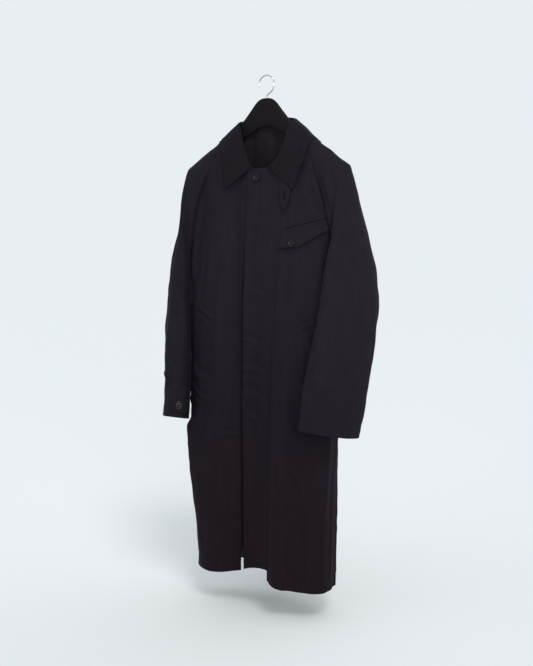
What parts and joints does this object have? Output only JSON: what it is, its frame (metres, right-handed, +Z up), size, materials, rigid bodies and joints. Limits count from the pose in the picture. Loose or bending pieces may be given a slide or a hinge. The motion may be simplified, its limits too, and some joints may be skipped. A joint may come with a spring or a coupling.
{
  "type": "long coat on a hanger",
  "caption": "Long dark cotton coat with a wide collar, raglan sleeves, hidden fly front, chest flap and side pocket welts, hung buttoned at the neck on a shaped hanger with a wire hook.",
  "frame": {"origin": "inside top of the hook's bow, where the rail or peg carries it", "axes": "+Z up; the coat faces -Y; +X is the wearer's left"},
  "size_m": [0.5651, 0.2416, 1.2316],
  "materials": {
    "twill": "near-black cotton twill with a soft sheen",
    "horn": "polished black four-hole buttons",
    "bar": "matt black",
    "wire": "bright plated wire"
  },
  "bodies": {
    "root": {"front_left": "twill", "front_right": "twill", "fly_front": "twill", "back": "twill", "sleeve_left": "twill", "sleeve_right": "twill", "collar": "twill", "throat_tab": "twill", "chest_flap": "twill", "welt_left": "twill", "welt_right": "twill", "cuff_tab_left": "twill", "cuff_tab_right": "twill", "neck_button": "horn", "chest_button": "horn", "cuff_button_left": "horn", "cuff_button_right": "horn", "hanger_bar": "bar", "hanger_hook": "wire"}
  },
  "joints": []
}
